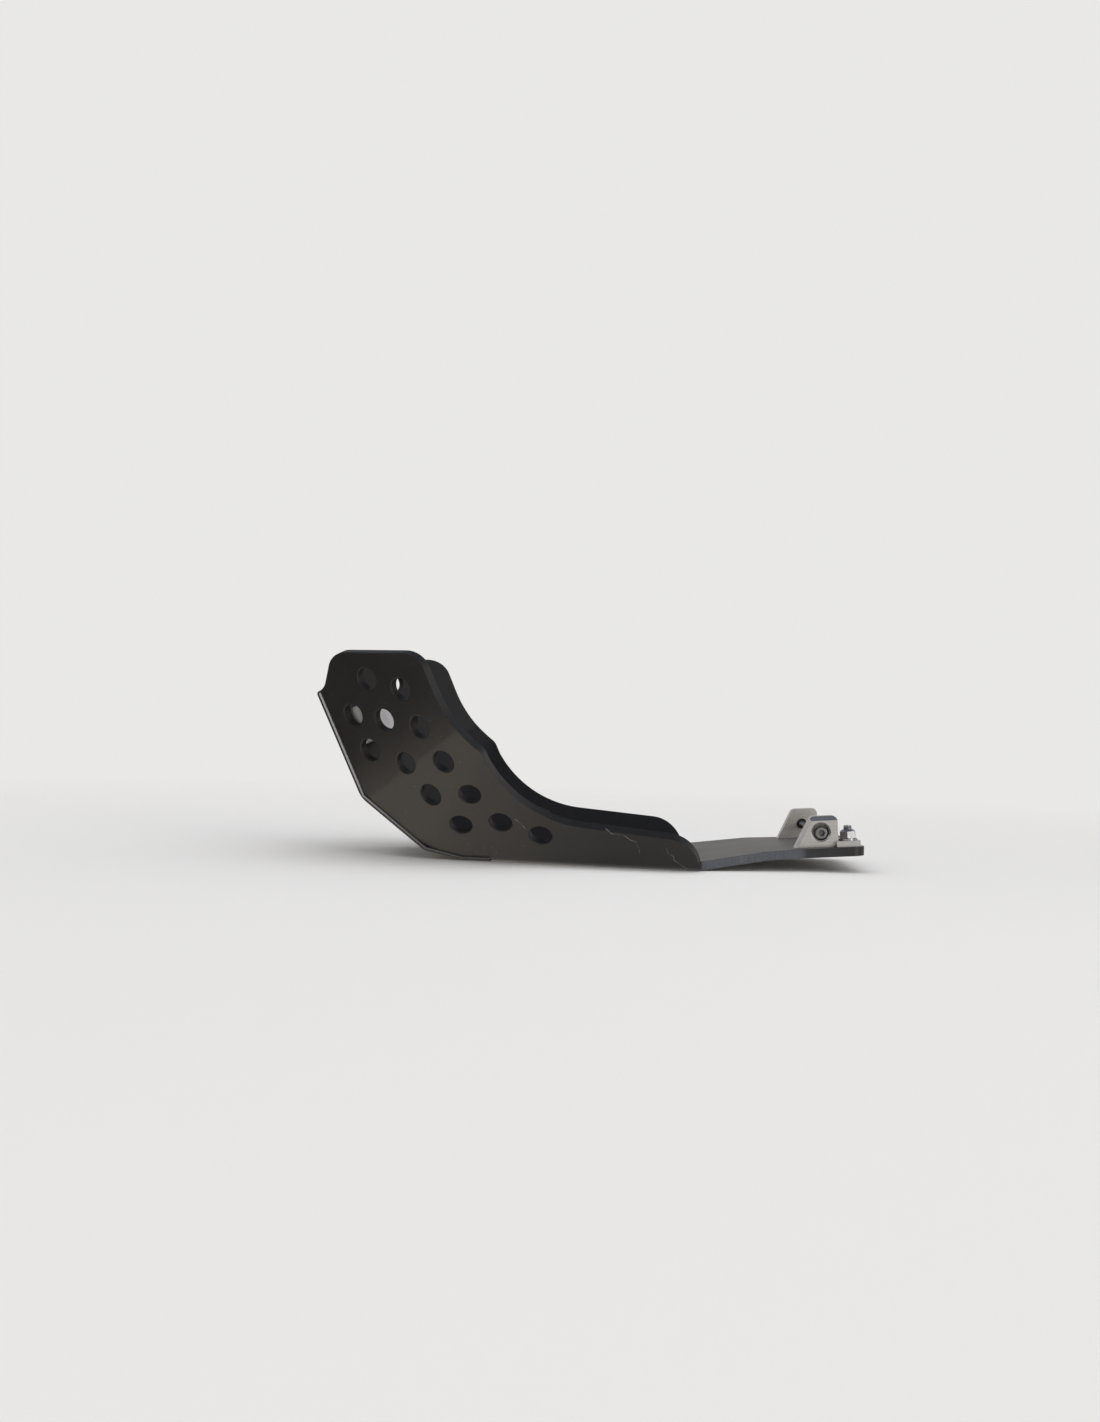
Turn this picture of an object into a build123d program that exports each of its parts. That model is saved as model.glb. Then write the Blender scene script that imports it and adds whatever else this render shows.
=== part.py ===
from build123d import *
from math import cos, radians, sin, tan
import os

# Millimetres and degrees. X runs to the rear, Y to the right and Z up, from the floor's underside.

# Plate: one sheet, seen from the side as a chain of flat runs joined by bends.
SHEET = 6.0
FLOOR_FRONT_X = -84.5
FLOOR_REAR_X = 71.0
FRONT_STRIPS = ((24.7, 13.0), (54.7, 37.5), (75.2, 65.8))
TAIL_RUNS = ((46.0, 8.6), (66.0, 4.2))
FRONT_BENDS = (165.0, 20.0, 20.0)
TAIL_BENDS = (60.0, 40.0)

# Wings: flat facets beside the floor, the middle strip and the top strip, flared, with soft creases.
FLOOR_HALF_WIDTH = 56.2
WING_FLARE = 40.0
WING_LEANS = (13.0, 45.0, 58.0)
CREASE_RADII = (55.0, 25.0)
CREASE_SETBACK = 4.5
FOLD_RADIUS = 8.0
WING_REAR_X = 71.5
WING_FACING = 0.5
LIP_RADIUS = 8.5
LIP_CORNER_RADIUS = 1.5
WING_EDGE = (
    ((-171.6, 133.6), 11.0),
    ((-112.9, 133.6), 17.0),
    ((-93.4, 89.4), 90.0),
    ((-70.5, 72.0), 14.0),
    ((-48.3, 30.0), 80.0),
    ((66.8, 19.4), 24.0),
)

# Drain holes: side-view centres on the wings, in rows along the front edge, and two rows in the floor.
HOLE_RADIUS = 7.5
HOLE_CHAMFER = 0.6
DRILL_LENGTH = 24.0
WING_HOLES = (
    ((-157.0, 93.4), (-145.4, 70.9)),
    ((-147.2, 116.9), (-135.4, 90.8), (-120.5, 63.6), (-104.0, 43.6), (-84.1, 24.4)),
    ((-124.2, 110.9), (-111.4, 87.3), (-95.5, 65.8), (-78.3, 45.1), (-58.2, 27.2), (-32.1, 19.5)),
)
FLOOR_HOLE_XS = (-50.0, -5.0, 40.0)
FLOOR_HOLE_Y = 28.0

# Weld bead along the front seam, and the relief hole where the seam turns into a fold.
BEAD_RADIUS = 1.7
BEAD_BEND = 11.0
BEAD_END_GAP = 1.5
RELIEF_X = -65.0
RELIEF_RADIUS = 1.3

# Tail in plan: it narrows from the end of the wings, then runs parallel to a rounded end.
TAIL_ROOT_X = 72.5
TAIL_ROOT_HALF_WIDTH = 82.0
TAIL_HALF_WIDTH = 60.0
TAIL_NECK_X = 142.0
TAIL_OVERLAP = 8.0
TAIL_CORNER_RADIUS = 8.0

# M6 countersunk bolt, washer and lock nut, the same at the front and the rear.
BOLT_RADIUS = 3.0
BOLT_LENGTH = 20.0
BOLT_HEAD_RADIUS = 6.0
BOLT_SOCKET = (4.0, 2.2)
BOLT_HOLE_RADIUS = 3.3
WASHER_RADIUS = 6.2
WASHER_BORE_RADIUS = 3.2
WASHER_HEIGHT = 1.2
NUT_FLATS = 10.0
NUT_HEIGHT = 6.0
NUT_CORNER_SLOPE = 30.0
NUT_TURN = 19.0
HEX_HALF_ANGLE = 30.0
SHANK_CLEARANCE = 0.05
END_CHAMFER = 0.6

# Rear brackets: a machined block with a low, wider foot, placed from the tail's end and the plate's middle.
FOOT_HEIGHT = 4.0
FOOT_INSET = 2.5
FOOT_LENGTH = 15.7
FOOT_OUTER_Y = 57.0
BLOCK_REAR = 16.4
BLOCK_HEIGHT = 20.7
BLOCK_TOP_FRONT = 33.8
BLOCK_FRONT = 45.3
BLOCK_OUTER_Y = 52.0
BLOCK_WIDTH = 10.0
BLOCK_TOP_RADIUS = 3.5
BLOCK_TOP_CHAMFER = 3.0
BLOCK_FRONT_CHAMFER = 1.5
BLOCK_INNER_RADIUS = 0.3
REAR_BOLT = (9.8, 50.0)

# M5 cap screws through the rear brackets into the frame, with a reduced shank in the bracket.
SCREW_HOLE = (27.7, 10.2)
SCREW_HOLE_RADIUS = 3.5
COUNTERBORE_RADIUS = 5.5
COUNTERBORE_DEPTH = 6.0
COUNTERBORE_CHAMFER = 1.0
SCREW_OFFSET = (0.5, -0.8)
SCREW_RADIUS = 2.5
SCREW_SHANK_RADIUS = 2.24
SCREW_LENGTH = 20.0
SCREW_HEAD = (4.25, 5.0)
SCREW_SOCKET = (4.0, 2.5)

# Front clamps: hooks over two frame tubes that lie against the inside of the top strip.
TUBE_RADIUS = 14.0
TUBE_Y = 38.0
CLAMP_WALL = 4.0
CLAMP_LENGTH = 24.0
CLAMP_RISE = 45.0
CLAMP_HOOK_END = 7.0
CLAMP_HEEL = 1.6
CLAMP_FOOT_Y = 3.0
CLAMP_BOLT_Y = 12.0

REACH = 400.0


def run(start, length, slope, way):
    """Next corner of the side profile, a length away at a slope, to the front or to the rear."""
    return start + Vector(way * length * cos(radians(slope)), length * sin(radians(slope)))


def chain(start, runs, way):
    """Corners of a chain of flat runs."""
    corners = [start]
    for length, slope in runs:
        corners.append(run(corners[-1], length, slope, way))
    return corners


FRONT = chain(Vector(FLOOR_FRONT_X, 0), FRONT_STRIPS, -1)
TAIL = chain(Vector(FLOOR_REAR_X, 0), TAIL_RUNS, 1)


def flat(points):
    """Plain coordinate pairs of side-profile corners."""
    return [(point.X, point.Y) for point in points]


def wing_normal(lean):
    """Outward normal of a left wing facet."""
    reach = sin(radians(WING_FLARE))
    return Vector(-reach * sin(radians(lean)), -cos(radians(WING_FLARE)), -reach * cos(radians(lean)))


def wing_half_width(lean, corner, width, point):
    """Half-width of a facet at a side-view point, from its half-width at a corner that it meets."""
    step = point - corner
    return width + tan(radians(WING_FLARE)) * (sin(radians(lean)) * step.X + cos(radians(lean)) * step.Y)


def crease_corners():
    """Where the facets start on the seam: the floor's corner, the first bend and just below the next."""
    length, slope = FRONT_STRIPS[1]
    return [*FRONT[:2], run(FRONT[1], length - CREASE_SETBACK, slope, -1)]


CREASES = crease_corners()


def crease_half_widths():
    """Half-widths where the facets start, worked out facet by facet from the floor's front corner."""
    widths = [FLOOR_HALF_WIDTH]
    for lean, corner, point in zip(WING_LEANS, CREASES, CREASES[1:]):
        widths.append(wing_half_width(lean, corner, widths[-1], point))
    return widths


CREASE_WIDTHS = crease_half_widths()


def half_width_at(point):
    """Half-width of the whole wing's outer side at a side-view point: the innermost of its facets."""
    facets = zip(WING_LEANS, CREASES, CREASE_WIDTHS)
    return min(wing_half_width(lean, corner, width, point) for lean, corner, width in facets)


def strip_frame(corner, slope, along, depth):
    """Frame on a front strip: X to the right, Y up the strip, Z inwards, a depth in from its outer face."""
    inwards = Vector(sin(radians(slope)), 0, cos(radians(slope)))
    upwards = Vector(-cos(radians(slope)), 0, sin(radians(slope)))
    origin = Vector(corner.X, 0, corner.Y) + along * upwards + depth * inwards
    return Plane(origin=origin, x_dir=(0, 1, 0), z_dir=inwards)


CLAMP_FRAME = strip_frame(FRONT[2], FRONT_STRIPS[2][1], CLAMP_RISE, SHEET)


def tail_frame():
    """Frame on the tail's upper face at its rear end: X rearwards, Y to the right, Z out of the sheet."""
    slope = radians(TAIL_RUNS[-1][1])
    upwards = Vector(-sin(slope), 0, cos(slope))
    origin = Vector(TAIL[-1].X, 0, TAIL[-1].Y) + SHEET * upwards
    return Plane(origin=origin, x_dir=(cos(slope), 0, sin(slope)), z_dir=upwards)


TAIL_FRAME = tail_frame()


def rounded_wedge(corner, width, first, second, radius):
    """All that lies behind two faces that meet at a corner, given by their normals, with a rounded edge."""
    frame = Plane(origin=(corner.X, -width, corner.Y), x_dir=first + second, z_dir=first.cross(second))
    half_turn = radians(first.get_angle(second) / 2)
    back = -REACH * sin(half_turn)
    side = REACH * cos(half_turn)
    section = FilletPolyline(
        (0, 0),
        (back, side),
        (back - REACH, side),
        (back - REACH, -side),
        (back, -side),
        radius=[radius, 0, 0, 0, 0],
        close=True,
    )
    return extrude(frame * make_face(section), amount=REACH, both=True)


def left_hull():
    """Solid from the middle plane to the left wing's outer faces, trimmed to the wing's side outline."""
    top_slope = radians(FRONT_STRIPS[-1][1])
    lip = FRONT[-1] + SHEET * Vector(sin(top_slope), cos(top_slope))
    points = [(WING_REAR_X, 0), *flat(FRONT), (lip.X, lip.Y), *[point for point, _ in WING_EDGE]]
    radii = [0, *FRONT_BENDS, LIP_CORNER_RADIUS, LIP_RADIUS, *[radius for _, radius in WING_EDGE]]
    outline = make_face(FilletPolyline(*points, radius=radii, close=True))
    hull = extrude(Plane.XZ * outline, amount=REACH / 2)
    creases = zip(CREASES[1:], CREASE_WIDTHS[1:], WING_LEANS, WING_LEANS[1:], CREASE_RADII)
    for corner, width, rear_lean, front_lean, radius in creases:
        hull = hull & rounded_wedge(corner, width, wing_normal(rear_lean), wing_normal(front_lean), radius)
    return hull


def wing_sheet(hull):
    """The left wing: every outer face of the hull given the sheet's thickness, square to the face."""
    wing = Part()
    for face in hull.faces().filter_by(lambda face: -face.normal_at().Y > WING_FACING):
        if face.geom_type == GeomType.PLANE:
            wing += extrude(face, amount=-SHEET)
        else:
            wing += Solid.thicken(face, -SHEET)
    return wing


def belly_sheet():
    """Front strips, floor and tail as one bent sheet, from the middle plane to beyond the left wing."""
    outer = FilletPolyline(*flat(TAIL[::-1] + FRONT), radius=[*TAIL_BENDS, *FRONT_BENDS])
    section = make_face(offset(outer, amount=SHEET, side=Side.RIGHT, closed=True))
    return extrude(Plane.XZ * section, amount=REACH / 2)


def tail_outline():
    """Left half of the tail in plan, reaching under the floor at its front and past the rear end."""
    root = FLOOR_REAR_X - TAIL_OVERLAP
    end = TAIL[-1].X
    rim = FilletPolyline(
        (root, 0),
        (root, -TAIL_ROOT_HALF_WIDTH),
        (TAIL_ROOT_X, -TAIL_ROOT_HALF_WIDTH),
        (TAIL_NECK_X, -TAIL_HALF_WIDTH),
        (end, -TAIL_HALF_WIDTH),
        (end, 0),
        radius=[0, 0, 0, 0, TAIL_CORNER_RADIUS, 0],
        close=True,
    )
    return extrude(make_face(rim), amount=REACH, both=True)


def fold_corner():
    """What the left fold's bend takes off the sharp corner between the floor and the wing."""
    length = WING_REAR_X - RELIEF_X + SHEET
    block = Box(length, REACH, 2 * SHEET, align=(Align.MIN, Align.CENTER, Align.CENTER))
    floor_normal = Vector(0, 0, -1)
    bend = rounded_wedge(FRONT[0], FLOOR_HALF_WIDTH, floor_normal, wing_normal(WING_LEANS[0]), FOLD_RADIUS)
    return Pos(RELIEF_X, 0, 0) * block - bend


def relief_hole():
    """Small hole at the left end of the weld, where the fold begins."""
    width = half_width_at(Vector(RELIEF_X, 0))
    return Pos(RELIEF_X, -width, 0) * Cylinder(RELIEF_RADIUS, DRILL_LENGTH)


def inset_corner(corner, rear_slope, front_slope, depth):
    """A profile corner moved inwards, so that it keeps a depth from the two runs that meet there."""
    rear = Vector(sin(radians(rear_slope)), cos(radians(rear_slope)))
    ahead = Vector(sin(radians(front_slope)), cos(radians(front_slope)))
    return corner + (rear + ahead) * (depth / (1 + rear.dot(ahead)))


def weld_bead():
    """Round bead of weld along the left seam, flush with the strips, from the lip to the relief hole."""
    lower, middle, upper = [slope for _, slope in FRONT_STRIPS]
    slopes = [0, 0, lower, middle, middle, upper, upper]
    end = run(FRONT[-1], -BEAD_END_GAP, upper, -1)
    corners = [Vector(RELIEF_X, 0), *CREASES, FRONT[2], end]
    inset = [inset_corner(*spot, BEAD_RADIUS) for spot in zip(corners, slopes, slopes[1:])]
    points = [Vector(corner.X, -half_width_at(corner), corner.Y) for corner in inset]
    seam = FilletPolyline(*points, radius=BEAD_BEND)
    section = Plane(origin=seam @ 0, z_dir=seam % 0) * Circle(BEAD_RADIUS)
    return sweep(section, path=seam)


def hole_cutter():
    """Drill with a chamfering shoulder at both faces of the sheet, which lies below Z 0."""
    shoulder = Cone(HOLE_RADIUS, HOLE_RADIUS + 2 * HOLE_CHAMFER, 2 * HOLE_CHAMFER)
    far_shoulder = Pos(0, 0, -SHEET) * Rot(180, 0, 0) * shoulder
    return Cylinder(HOLE_RADIUS, DRILL_LENGTH) + shoulder + far_shoulder


def bolt_cutter():
    """Countersunk bolt hole through the sheet. The sheet's inner face is Z 0, the head is below it."""
    cone = Pos(0, 0, -SHEET) * Cone(
        BOLT_HEAD_RADIUS + SHANK_CLEARANCE,
        BOLT_RADIUS + SHANK_CLEARANCE,
        BOLT_HEAD_RADIUS - BOLT_RADIUS,
        align=(Align.CENTER, Align.CENTER, Align.MIN),
    )
    return Cylinder(BOLT_HOLE_RADIUS, DRILL_LENGTH) + cone


def rear_bolt_place():
    """Left rear bolt: on the tail's upper face."""
    back, across = REAR_BOLT
    return TAIL_FRAME * Pos(-back, -across, 0)


def clamp_bolt_place():
    """Left front bolt: on the inner face of the top strip."""
    return CLAMP_FRAME * Pos(-CLAMP_BOLT_Y, 0, 0)


def skid_plate():
    """The whole plate, built as its left half and mirrored."""
    hull = left_hull()
    belly = belly_sheet()
    half = (belly & hull) + wing_sheet(hull)
    half -= relief_hole()
    half -= fold_corner()
    half += weld_bead()
    half += belly & tail_outline()
    cutter = hole_cutter()
    for row in WING_HOLES:
        for x, z in row:
            sight = Axis((x, 0, z), (0, -1, 0))
            point, normal = max(hull.find_intersection_points(sight), key=lambda hit: -hit[0].Y)
            half -= Plane(origin=point, z_dir=normal) * cutter
    for x in FLOOR_HOLE_XS:
        half -= Pos(x, -FLOOR_HOLE_Y, 0) * Rot(180, 0, 0) * cutter
    half -= rear_bolt_place() * bolt_cutter()
    half -= clamp_bolt_place() * bolt_cutter()
    return half + mirror(half, about=Plane.XZ)


def socket_hole(flats_and_depth):
    """Hex socket, open at Z 0 and going up."""
    flats, depth = flats_and_depth
    return extrude(RegularPolygon(flats / 2, 6, major_radius=False), amount=depth)


def countersunk_bolt():
    """Bolt with its head's flat at the sheet's outer face and its shank up through the sheet."""
    head_depth = BOLT_HEAD_RADIUS - BOLT_RADIUS
    tip = BOLT_LENGTH
    half_section = Polyline(
        (0, 0),
        (BOLT_HEAD_RADIUS, 0),
        (BOLT_RADIUS, head_depth),
        (BOLT_RADIUS, tip - END_CHAMFER),
        (BOLT_RADIUS - END_CHAMFER, tip),
        (0, tip),
        close=True,
    )
    turned = revolve(make_face(Plane.XZ * half_section), Axis.Z)
    return Pos(0, 0, -SHEET) * (turned - socket_hole(BOLT_SOCKET))


def washer():
    """Plain washer."""
    ring = Circle(WASHER_RADIUS) - Circle(WASHER_BORE_RADIUS)
    return Pos(0, 0, FOOT_HEIGHT) * extrude(ring, amount=WASHER_HEIGHT)


def lock_nut():
    """Hex lock nut with rounded corners and a raised collar round its bore."""
    inner = NUT_FLATS / 2
    corner = inner / cos(radians(HEX_HALF_ANGLE))
    hexagon = extrude(RegularPolygon(inner, 6, major_radius=False, rotation=NUT_TURN), amount=NUT_HEIGHT)
    fall = (corner - inner) * tan(radians(NUT_CORNER_SLOPE))
    half_section = Polyline(
        (0, 0),
        (inner, 0),
        (corner, fall),
        (corner, NUT_HEIGHT - 2 * fall - END_CHAMFER),
        (inner, NUT_HEIGHT - fall - END_CHAMFER),
        (inner - 2 * END_CHAMFER, NUT_HEIGHT),
        (0, NUT_HEIGHT),
        close=True,
    )
    turned = revolve(make_face(Plane.XZ * half_section), Axis.Z)
    bore = Cylinder(BOLT_RADIUS + SHANK_CLEARANCE, DRILL_LENGTH)
    return Pos(0, 0, FOOT_HEIGHT + WASHER_HEIGHT) * ((hexagon & turned) - bore)


def bracket_screw_place():
    """Left screw hole: on the bracket's outer face, Z outwards and Y up."""
    back, height = SCREW_HOLE
    origin = (TAIL_FRAME * Pos(-back, -BLOCK_OUTER_Y, height)).position
    return Plane(origin=origin, x_dir=TAIL_FRAME.x_dir, z_dir=(0, -1, 0))


def bevel_bar(start, end, size):
    """Three-sided bar that cuts a chamfer along an outer edge of the bracket's side profile."""
    corner = Vector(start[0], -BLOCK_OUTER_Y, start[1])
    along = Vector(end[0] - start[0], 0, end[1] - start[1])
    section = Polyline((0, 0), (size, 0), (0, -size), close=True)
    frame = Plane(origin=corner, x_dir=(0, 1, 0), z_dir=along)
    return extrude(frame * make_face(section), amount=REACH, both=True)


def rear_bracket():
    """Left rear bracket: a side profile cut across the tail, a ledge beside it, screw and bolt holes."""
    toe = (-BLOCK_FRONT, 0)
    top_front = (-BLOCK_TOP_FRONT, BLOCK_HEIGHT)
    top_rear = (-BLOCK_REAR, BLOCK_HEIGHT)
    profile = FilletPolyline(
        toe,
        top_front,
        top_rear,
        (-BLOCK_REAR, FOOT_HEIGHT),
        (-FOOT_INSET, FOOT_HEIGHT),
        (-FOOT_INSET, 0),
        radius=[0, BLOCK_TOP_RADIUS, BLOCK_TOP_RADIUS, BLOCK_INNER_RADIUS, 0, 0],
        close=True,
    )
    inner_side = Pos(0, BLOCK_WIDTH - BLOCK_OUTER_Y, 0)
    block = inner_side * extrude(Plane.XZ * make_face(profile), amount=BLOCK_WIDTH)
    ledge_corner = (Align.MAX, Align.MIN, Align.MIN)
    ledge = Box(FOOT_LENGTH, FOOT_OUTER_Y - BLOCK_OUTER_Y, FOOT_HEIGHT, align=ledge_corner)
    block += Pos(-FOOT_INSET, -FOOT_OUTER_Y, 0) * ledge
    block -= bevel_bar(top_front, top_rear, BLOCK_TOP_CHAMFER)
    block -= bevel_bar(toe, top_front, BLOCK_FRONT_CHAMFER)
    back, across = REAR_BOLT
    block -= Pos(-back, -across, 0) * Cylinder(BOLT_HOLE_RADIUS, DRILL_LENGTH)
    bored = TAIL_FRAME * block
    lip = 2 * COUNTERBORE_CHAMFER
    bore = Cylinder(COUNTERBORE_RADIUS, 2 * COUNTERBORE_DEPTH) + Cylinder(SCREW_HOLE_RADIUS, REACH)
    bore += Cone(COUNTERBORE_RADIUS, COUNTERBORE_RADIUS + lip, lip)
    return bored - bracket_screw_place() * bore


def frame_screw():
    """Left cap screw, seated in the bracket's counterbore and reaching inwards to the frame."""
    head_radius, head_height = SCREW_HEAD
    grip = BLOCK_WIDTH - COUNTERBORE_DEPTH
    half_section = Polyline(
        (0, head_height),
        (head_radius - END_CHAMFER, head_height),
        (head_radius, head_height - END_CHAMFER),
        (head_radius, 0),
        (SCREW_SHANK_RADIUS, 0),
        (SCREW_SHANK_RADIUS, -grip),
        (SCREW_RADIUS, -grip),
        (SCREW_RADIUS, END_CHAMFER - SCREW_LENGTH),
        (SCREW_RADIUS - END_CHAMFER, -SCREW_LENGTH),
        (0, -SCREW_LENGTH),
        close=True,
    )
    turned = revolve(make_face(Plane.XZ * half_section), Axis.Z)
    turned -= Pos(0, 0, head_height) * Rot(180, 0, 0) * socket_hole(SCREW_SOCKET)
    right, up = SCREW_OFFSET
    return bracket_screw_place() * Pos(right, up, -COUNTERBORE_DEPTH) * turned


def front_clamp():
    """Left hook: a foot on the strip, a leg with its heel taken off, and an arm over the tube."""
    outer = TUBE_RADIUS + CLAMP_WALL
    tube = Pos(-TUBE_Y, TUBE_RADIUS)
    arm = tube * (Circle(outer) - Circle(TUBE_RADIUS))
    arm -= Pos(-TUBE_Y, CLAMP_HOOK_END) * Rectangle(REACH, REACH, align=(Align.CENTER, Align.MAX))
    leg = Pos(-TUBE_Y + TUBE_RADIUS, 0) * Rectangle(CLAMP_WALL, TUBE_RADIUS, align=(Align.MIN, Align.MIN))
    foot_length = TUBE_Y - TUBE_RADIUS - CLAMP_FOOT_Y
    foot = Pos(-CLAMP_FOOT_Y, 0) * Rectangle(foot_length, FOOT_HEIGHT, align=(Align.MAX, Align.MIN))
    heel = Pos(-TUBE_Y + TUBE_RADIUS, 0) * Rot(0, 0, 45) * Rectangle(CLAMP_HEEL, CLAMP_HEEL)
    section = arm + leg + foot - heel
    hook = extrude(Plane.XZ * section, amount=CLAMP_LENGTH / 2, both=True)
    hook -= Pos(-CLAMP_BOLT_Y, 0, 0) * Cylinder(BOLT_HOLE_RADIUS, DRILL_LENGTH)
    return CLAMP_FRAME * hook


def left_parts():
    """Every left-hand piece by name."""
    rear = rear_bolt_place()
    ahead = clamp_bolt_place()
    return {
        "rear_bracket": rear_bracket(),
        "frame_screw": frame_screw(),
        "rear_plate_bolt": rear * countersunk_bolt(),
        "rear_washer": rear * washer(),
        "rear_lock_nut": rear * lock_nut(),
        "front_clamp": front_clamp(),
        "front_clamp_bolt": ahead * countersunk_bolt(),
        "front_clamp_washer": ahead * washer(),
        "front_clamp_nut": ahead * lock_nut(),
    }


def write_parts():
    """Write the plate and both sides' pieces, one file each."""
    os.makedirs("parts", exist_ok=True)
    export_step(skid_plate(), "parts/skid_plate.step")
    for name, shape in left_parts().items():
        export_step(shape, f"parts/{name}_left.step")
        export_step(mirror(shape, about=Plane.XZ), f"parts/{name}_right.step")


write_parts()
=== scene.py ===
"""Looks of a folded plastic skid plate with its brackets, clamps and fasteners."""

from __future__ import annotations

import logging
import math
from collections.abc import Callable, Iterable, Mapping, Sequence
from dataclasses import dataclass
from enum import Enum
from typing import Union

import bmesh
import bpy
from mathutils import Matrix, Vector


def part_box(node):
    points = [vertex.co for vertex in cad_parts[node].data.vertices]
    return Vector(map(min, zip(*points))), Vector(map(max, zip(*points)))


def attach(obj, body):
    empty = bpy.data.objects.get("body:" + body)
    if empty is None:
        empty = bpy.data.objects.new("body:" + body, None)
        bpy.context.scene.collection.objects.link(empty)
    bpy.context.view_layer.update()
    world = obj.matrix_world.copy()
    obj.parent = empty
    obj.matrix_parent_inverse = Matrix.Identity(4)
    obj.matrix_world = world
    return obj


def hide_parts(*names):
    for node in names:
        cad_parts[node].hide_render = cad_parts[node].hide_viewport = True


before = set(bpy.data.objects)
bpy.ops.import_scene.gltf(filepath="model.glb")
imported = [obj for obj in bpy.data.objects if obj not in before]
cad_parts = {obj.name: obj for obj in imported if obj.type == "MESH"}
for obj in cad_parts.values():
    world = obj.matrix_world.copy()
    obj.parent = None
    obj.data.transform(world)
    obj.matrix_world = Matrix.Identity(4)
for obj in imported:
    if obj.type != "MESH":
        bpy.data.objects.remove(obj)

Colour = tuple[float, float, float]
Place = tuple[float, float, float]
Span = tuple[float, ...]
Stroke = tuple[tuple[float, float], ...]
Socket = bpy.types.NodeSocket
Input = Union[float, str, bool, Sequence[float], bpy.types.NodeSocket]

LOG = logging.getLogger("skid_plate")
MM = 0.001
BODY = "root"
CUT_ATTRIBUTE = "sawn"
HOLE_ATTRIBUTE = "drilled"
WELD = 0.002 * MM
CUT_TOLERANCE = 1e-7
NORMAL_WEIGHT = 100
ORIGIN: Place = (0.0, 0.0, 0.0)
UPWARDS: Place = (0.0, 0.0, 1.0)
SIDE_VIEW: Place = (1.0, 0.0, 1.0)
NOISE_MIDDLE: Place = (0.5, 0.5, 0.5)


class Side(Enum):
    """The two sides of the plate, with the sign of Y on each."""

    LEFT = -1
    RIGHT = 1

    @property
    def suffix(self) -> str:
        """Ending of a node's name on this side."""
        return self.name.lower()


class Effect(Enum):
    """Shader effects that several finishes share."""

    GRAIN = "surface_grain"
    TOOL_MARKS = "tool_marks"
    HAIRLINES = "hairlines"
    STROKE = "scratch_stroke"
    EDGE = "edge_light"
    SPECKS = "dust_specks"


class Graph:
    """A node tree being written, with short calls that add and join nodes."""

    FIRST_COLOUR, SECOND_COLOUR, MIXED_COLOUR = 6, 7, 2

    def __init__(self, tree: bpy.types.NodeTree) -> None:
        """Start on an empty or given tree."""
        self.tree = tree

    def add(
        self, kind: str, inputs: Mapping[str | int, Input] | None = None, **settings: object
    ) -> bpy.types.Node:
        """Add a node.

        Args:
            kind: Blender's name of the node type.
            inputs: values or sockets for its inputs, by name or index.
            settings: properties of the node itself.

        Returns:
            The new node.
        """
        node = self.tree.nodes.new(kind)
        for name, setting in settings.items():
            setattr(node, name, setting)
        for key, value in (inputs or {}).items():
            self.feed(node.inputs[key], value)
        return node

    def feed(self, socket: Socket, value: Input) -> None:
        """Join a socket to another, or set its value.

        Args:
            socket: the input to fill.
            value: an output socket, a number, a vector or a colour.
        """
        if isinstance(value, bpy.types.NodeSocket):
            self.tree.links.new(value, socket)
        elif socket.type == "RGBA":
            socket.default_value = (*value, 1.0)
        else:
            socket.default_value = value

    def math(self, operation: str, *values: Input) -> Socket:
        """Result of a Math node, from its inputs in order."""
        node = self.add("ShaderNodeMath", dict(enumerate(values)), operation=operation)
        return node.outputs[0]

    def times(self, product: Input, *factors: Input) -> Socket:
        """Product of numbers.

        Args:
            product: the first number.
            factors: what it is multiplied by.

        Returns:
            The product's socket.
        """
        for factor in factors:
            product = self.math("MULTIPLY", product, factor)
        return product

    def total(self, first: tuple[Input, float], *others: tuple[Input, float]) -> Socket:
        """Sum of numbers, each by its share.

        Args:
            first: the first number and its share.
            others: the rest, in the same way.

        Returns:
            The sum's socket.
        """
        result = self.times(*first)
        for other in others:
            result = self.math("ADD", result, self.times(*other))
        return result

    def vector(self, operation: str, *values: Input) -> Socket:
        """Vector result of a Vector Math node, from its inputs in order."""
        node = self.add("ShaderNodeVectorMath", dict(enumerate(values)), operation=operation)
        return node.outputs["Vector"]

    def scale(self, vector: Input, factor: Input) -> Socket:
        """A vector made longer or shorter by a factor."""
        inputs = {0: vector, "Scale": factor}
        return self.add("ShaderNodeVectorMath", inputs, operation="SCALE").outputs["Vector"]

    def measure(self, operation: str, *values: Input) -> Socket:
        """Number that a Vector Math node gives, such as a length or a dot product."""
        node = self.add("ShaderNodeVectorMath", dict(enumerate(values)), operation=operation)
        return node.outputs["Value"]

    def remap(
        self, value: Input, low: float, high: float, start: float = 0.0, end: float = 1.0
    ) -> Socket:
        """Clamped linear change of a number, from the range low to high to the range start to end."""
        limits = {"Value": value, "From Min": low, "From Max": high, "To Min": start, "To Max": end}
        return self.add("ShaderNodeMapRange", limits).outputs["Result"]

    def mix(self, factor: Input, first: Input, second: Input) -> Socket:
        """Blend of two colours, where the factor is the second one's share."""
        colours = {0: factor, self.FIRST_COLOUR: first, self.SECOND_COLOUR: second}
        return self.add("ShaderNodeMix", colours, data_type="RGBA").outputs[self.MIXED_COLOUR]

    def noise(self, vector: Input, detail: float) -> Socket:
        """Noise of unit size on a vector, with octaves of finer detail."""
        inputs = {"Vector": vector, "Scale": 1.0, "Detail": detail}
        return self.add("ShaderNodeTexNoise", inputs).outputs["Fac"]

    def axis(self, vector: Input, name: str) -> Socket:
        """One coordinate of a vector: X, Y or Z."""
        return self.add("ShaderNodeSeparateXYZ", {0: vector}).outputs[name]


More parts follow.
